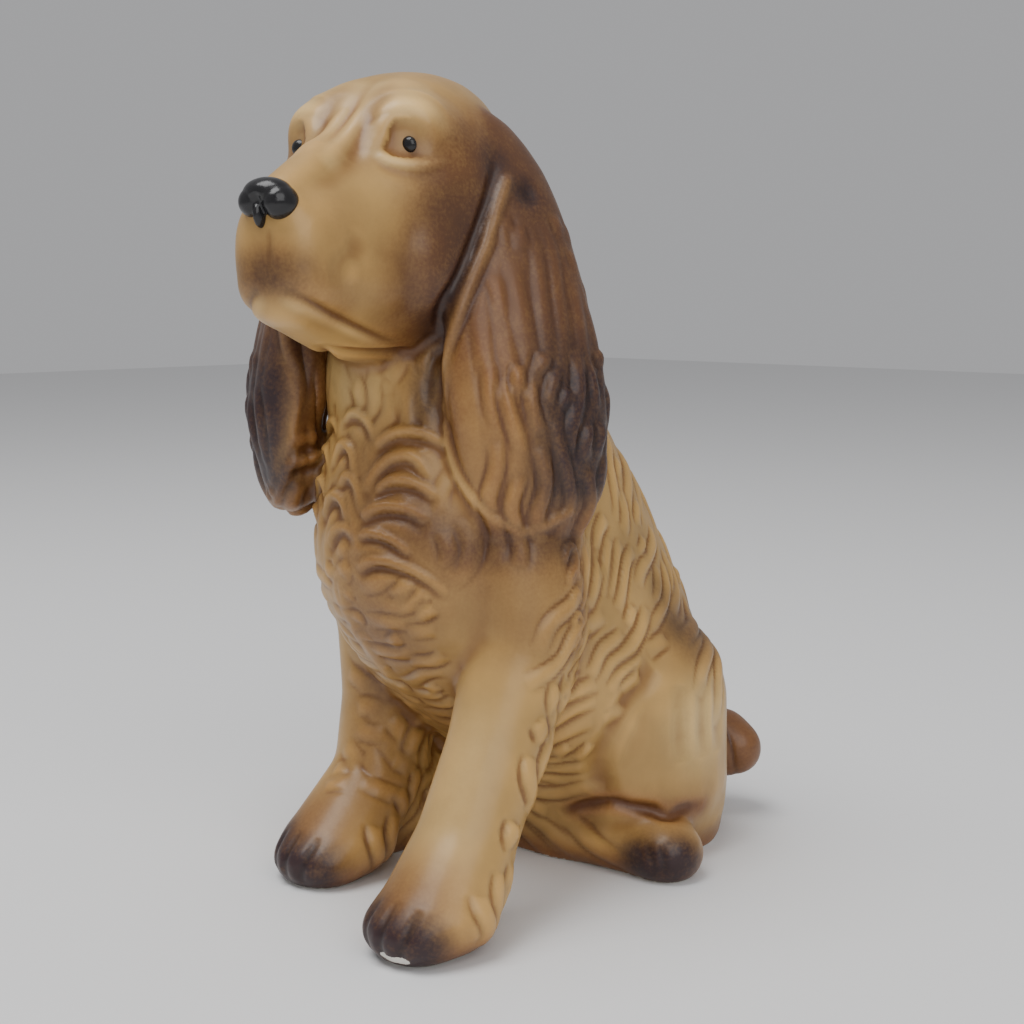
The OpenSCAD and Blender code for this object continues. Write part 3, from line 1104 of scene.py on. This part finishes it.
# %% The sockets of the airbrushed glaze
MASKS = ("pale", "rust", "brown", "plum")
group = bpy.data.node_groups.new("airbrushed glaze", "ShaderNodeTree")


def add_sockets(way, kind, *names):
    for name in names:
        group.interface.new_socket(name, in_out=way, socket_type="NodeSocket" + kind)


add_sockets("INPUT", "Vector", "Vector")
add_sockets("INPUT", "Color", "Wash", *[mask + " colour" for mask in MASKS])
add_sockets("INPUT", "Float", *MASKS, "bare", "crest", "Droplets")
add_sockets("OUTPUT", "Color", "Color")
add_sockets("OUTPUT", "Float", "Roughness", "Height")
given = new_node(group, "NodeGroupInput", (-1400, 0)).outputs
result = new_node(group, "NodeGroupOutput", (1400, 0)).inputs
print("The group takes", len(given) - 1, "values")

# %% [markdown]
# Inside the group, three noises stand for three things: pools of honey glaze, streaks where it ran, and the
# airbrush's droplets. The droplets change how much of each colour a mask lets through, so that a pass ends
# in a speckled edge. The colours then go on one after another, in the order of spraying, and the relief mask
# comes last, as the clear glaze does: it puts painted shade in the grooves and a painted highlight on the
# ridges.

# %% The wash and the sprayed colours
POOLS, STREAKS, DROPLETS, PEEL = 42, 160, 950, 420
# Tints for the relief mask: painted shade in the grooves and painted highlight on the ridges, partly
# standing for the glaze pooling and running thin.
GROOVE_SHADE_AND_POOL = (0.42, 0.27, 0.19, 1)
RIDGE_HIGHLIGHT_AND_THIN_GLAZE = (1.45, 1.42, 1.4, 1)
BARE_CLAY = (0.74, 0.71, 0.64, 1)
GLOSS = 0.34


def scaled(tree, value, by, plus, place):
    """The value times one number, plus another."""
    made = math_node(tree, "MULTIPLY_ADD", value, by, place)
    made.node.inputs[2].default_value = plus
    return made


pools = noise_node(group, given["Vector"], POOLS, 4, (-1200, 500))
droplets = noise_node(group, given["Vector"], DROPLETS, 2, (-1200, 300))
streaks = noise_node(group, given["Vector"], STREAKS, 3, (-1200, 100))
uneven = scaled(group, pools, 0.9, 0.55, (-1000, 500))
colour = mix_colours(group, 1.0, given["Wash"], uneven, (-800, 500), "MULTIPLY")
spread = math_node(group, "ADD", droplets, math_node(group, "MULTIPLY", streaks, 0.9, (-1000, 100)),
                   (-900, 200))
spread = math_node(group, "SUBTRACT", spread, 0.95, (-800, 200))
spread = math_node(group, "MULTIPLY", spread, given["Droplets"], (-700, 200))
for k, mask in enumerate(MASKS):
    x = -500 + 250 * k
    rough_edge = math_node(group, "ADD", 1.0, spread, (x, -300))
    amount = math_node(group, "MULTIPLY", given[mask], rough_edge, (x + 60, -300), clamp=True)
    colour = mix_colours(group, amount, colour, given[mask + " colour"], (x + 120, 300))

# %% The relief's painted shade and highlight, the chip and the gloss
# Painted shade in the grooves, partly the glaze pooling there.
low = math_node(group, "SUBTRACT", 0.5, given["crest"], (500, -100))
low = math_node(group, "MULTIPLY", low, 1.6, (600, -100), clamp=True)
colour = mix_colours(group, low, colour, GROOVE_SHADE_AND_POOL, (700, 200), "MULTIPLY")
# Painted highlight on the ridges, partly the glaze running thin there.
high = math_node(group, "SUBTRACT", given["crest"], 0.56, (500, -300))
high = math_node(group, "MULTIPLY", high, 1.5, (600, -300), clamp=True)
colour = mix_colours(group, high, colour, RIDGE_HIGHLIGHT_AND_THIN_GLAZE, (850, 200), "MULTIPLY")
chipped = math_node(group, "ADD", given["bare"], spread, (500, -500))
chipped = math_node(group, "GREATER_THAN", chipped, 0.5, (600, -500))
colour = mix_colours(group, chipped, colour, BARE_CLAY, (1000, 200))
gloss = scaled(group, streaks, 0.16, GLOSS, (900, -200))
gloss = math_node(group, "ADD", gloss, math_node(group, "MULTIPLY", chipped, 0.5, (900, -400)), (1000, -200))
peel = noise_node(group, given["Vector"], PEEL, 2, (800, -700))
group.links.new(colour, result["Color"])
group.links.new(gloss, result["Roughness"])
group.links.new(peel, result["Height"])
print("The airbrushed glaze has", len(group.nodes), "nodes")

# %% [markdown]
# Both glazes are the same airbrushed glaze over another wash, so one function makes them. The
# Attribute nodes read the sprayed masks from the skin. A real glaze is a clear layer on top, and
# the Principled shader's coat gives that, with a very fine bump for its orange-peel surface.

# %% The two glazes
def glaze(name, wash, **colours):
    material = bpy.data.materials.new(name)
    material.use_nodes = True
    tree = material.node_tree
    surface = tree.nodes["Principled BSDF"]
    place = new_node(tree, "ShaderNodeTexCoord", (-900, 0))
    sprays = new_node(tree, "ShaderNodeGroup", (-400, 0), node_tree=group)
    tree.links.new(place.outputs["Object"], sprays.inputs["Vector"])
    sprays.inputs["Wash"].default_value = wash + (1,)
    sprays.inputs["Droplets"].default_value = 0.5
    for mask, value in colours.items():
        sprays.inputs[mask + " colour"].default_value = value + (1,)
    for k, mask in enumerate(MASKS + ("bare", "crest")):
        read = new_node(tree, "ShaderNodeAttribute", (-900, -200 - 180 * k), attribute_name=mask)
        tree.links.new(read.outputs["Fac"], sprays.inputs[mask])
    bump = new_node(tree, "ShaderNodeBump", (-150, -300))
    bump.inputs["Strength"].default_value = 0.12
    bump.inputs["Distance"].default_value = 0.0004
    tree.links.new(sprays.outputs["Color"], surface.inputs["Base Color"])
    tree.links.new(sprays.outputs["Roughness"], surface.inputs["Roughness"])
    tree.links.new(sprays.outputs["Height"], bump.inputs["Height"])
    tree.links.new(bump.outputs["Normal"], surface.inputs["Normal"])
    surface.inputs["Specular IOR Level"].default_value = 0.4
    surface.inputs["Coat Weight"].default_value = 0.15
    surface.inputs["Coat Roughness"].default_value = 0.2
    return material


# The pale colour is a painted highlight; brown and plum also serve as painted shade where they are sprayed
# into creases and under the ears.
SPRAYS = {"pale": (0.64, 0.44, 0.18), "rust": (0.19, 0.065, 0.025), "brown": (0.16, 0.065, 0.018),
          "plum": (0.024, 0.010, 0.011)}
honey_glaze = glaze("honey_glaze", (0.44, 0.262, 0.082), **SPRAYS)
brown_glaze = glaze("brown_glaze", (0.41, 0.235, 0.075), **SPRAYS)
print("Made", honey_glaze.name, "and", brown_glaze.name)

# %% [markdown]
# The enamel is thick paint put on with a brush. It is nearly black, glossy, and not quite even, so
# one noise changes its tone, its shine and its height together.

# %% The black enamel
black_enamel = bpy.data.materials.new("black_enamel")
black_enamel.use_nodes = True
paint = black_enamel.node_tree
surface = paint.nodes["Principled BSDF"]
place = new_node(paint, "ShaderNodeTexCoord", (-900, 0))
brush = noise_node(paint, place.outputs["Object"], 240, 3, (-700, 0))
tone = mix_colours(paint, brush, (0.004, 0.004, 0.005, 1), (0.016, 0.015, 0.016, 1), (-400, 100))
paint.links.new(tone, surface.inputs["Base Color"])
shine = scaled(paint, brush, 0.3, 0.08, (-400, -100))
paint.links.new(shine, surface.inputs["Roughness"])
bump = new_node(paint, "ShaderNodeBump", (-200, -300))
bump.inputs["Strength"].default_value = 0.35
bump.inputs["Distance"].default_value = 0.0006
paint.links.new(brush, bump.inputs["Height"])
paint.links.new(bump.outputs["Normal"], surface.inputs["Normal"])

# %% [markdown]
# Each modelled piece takes the place of the CAD node with its name, keeps that node's material
# slot, and moves with the root, because nothing on a figurine moves by itself.

# %% Put every piece in its place
for node, piece in parted.items():
    brown = node in ("left_ear", "right_ear", "tail")
    piece.data.materials.append(brown_glaze if brown else honey_glaze)
    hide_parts(node)
    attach(piece, "root")
for piece, node in ((nose, "nose_enamel"), (eyes[1], "left_eye_enamel"), (eyes[-1], "right_eye_enamel")):
    piece.data.materials.clear()
    piece.data.materials.append(black_enamel)
    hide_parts(node)
    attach(piece, "root")
print("Placed", len(parted) + 3, "pieces")

# %% [markdown]
# The stage is plain: a pale floor, a large soft light overhead, a larger and weaker one to the
# side, and an even grey world. The lens is a long one, so the figure isn't distorted close up.

# %% Floor, light and camera
CAMERA_AT = (0.3706, -0.359, 0.187)
CAMERA_PITCH = 7.9
CAMERA_TURN = 45
LENS = 56.25

bpy.ops.object.select_all(action="DESELECT")
bpy.ops.object.camera_add(location=CAMERA_AT,
                          rotation=(math.radians(90 - CAMERA_PITCH), 0, math.radians(CAMERA_TURN)))
camera = bpy.context.object
camera.data.lens = LENS
camera.data.sensor_width = 36
camera.data.clip_start = 0.01
bpy.context.scene.camera = camera

bpy.ops.mesh.primitive_plane_add(size=6)
floor = bpy.context.object
floor.name = "floor"
for name, place, size, power in [("key", (-0.1, -0.5, 1.4), 0.9, 16), ("fill", (1.2, -0.5, 0.9), 1.2, 9)]:
    bpy.ops.object.light_add(type="AREA", location=place)
    lamp = bpy.context.object
    lamp.name = name
    lamp.data.size = size
    lamp.data.energy = power
    lamp.rotation_euler = (Vector((0, 0, 0.12)) - Vector(place)).to_track_quat("-Z", "Y").to_euler()
world = bpy.data.worlds.new("studio")
bpy.context.scene.world = world
world.use_nodes = True
world.node_tree.nodes["Background"].inputs["Color"].default_value = (0.8, 0.8, 0.82, 1)
world.node_tree.nodes["Background"].inputs["Strength"].default_value = 0.52

bpy.ops.object.select_all(action="DESELECT")
